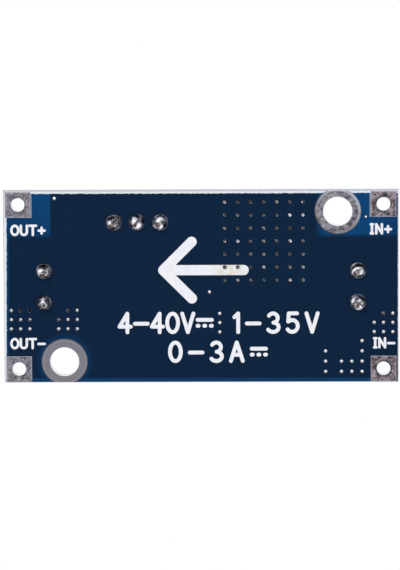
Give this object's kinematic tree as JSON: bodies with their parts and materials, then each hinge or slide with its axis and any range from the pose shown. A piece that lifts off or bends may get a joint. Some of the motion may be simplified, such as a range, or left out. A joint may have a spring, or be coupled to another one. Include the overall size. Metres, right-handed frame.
{
  "type": "buck converter module",
  "caption": "Small step-down converter board with corner terminal pads, ringed screw holes, tabbed regulator, shielded coil, upright capacitors and a slotted trimmer.",
  "frame": {"origin": "centre of the board in the plane of its underside, midway between the two screw holes", "axes": "+X to the output terminals, along the board's long side; +Y to the positive terminals; +Z out of the component side. The picture looks at the underside."},
  "size_m": [0.0432, 0.0212, 0.015],
  "materials": {
    "board": "blue solder mask over woven glass laminate, matt pale edges",
    "tinned": "hot-air levelled tin on copper, dull with a fine grain",
    "solder": "bright solder",
    "lead_wire": "tinned wire, cut ends",
    "can": "bright drawn aluminium",
    "bung": "matt",
    "case_epoxy": "fine moulded grain",
    "heat_tab": "tin-plated copper",
    "ferrite": "matt sintered",
    "winding": "enamelled copper wire",
    "trimmer_case": "smooth blue moulding",
    "trimmer_seal": "cast resin",
    "adjuster": "turned, semi-bright",
    "chip_body": "glassy black top"
  },
  "bodies": {
    "module": {"circuit_board": "board", "input_positive_pad": "tinned", "input_negative_pad": "tinned", "output_positive_pad": "tinned", "output_negative_pad": "tinned", "input_screw_ring": "tinned", "output_screw_ring": "tinned", "input_capacitor_leads": "lead_wire", "input_capacitor_solder_joints": "solder", "input_capacitor_bung": "bung", "input_capacitor_can": "can", "output_capacitor_leads": "lead_wire", "output_capacitor_solder_joints": "solder", "output_capacitor_bung": "bung", "output_capacitor_can": "can", "regulator_tab": "heat_tab", "regulator_leads": "lead_wire", "regulator_case": "case_epoxy", "diode_leads": "lead_wire", "diode_case": "case_epoxy", "coil_clips": "lead_wire", "coil_shield": "ferrite", "coil_drum": "ferrite", "coil_winding": "winding", "trimmer_pins": "lead_wire", "trimmer_solder_joints": "solder", "trimmer_seal": "trimmer_seal", "trimmer_case": "trimmer_case", "feedback_resistor_body": "chip_body", "feedback_resistor_ends": "tinned"},
    "adjuster": {"trimmer_adjuster": "adjuster"}
  },
  "joints": [
    {"name": "adjuster_turn", "type": "hinge", "parent": "module", "child": "adjuster", "pos_m": [0.00982, 0.00642, 0.0116], "axis": [0, 0, 1], "continuous": true}
  ]
}
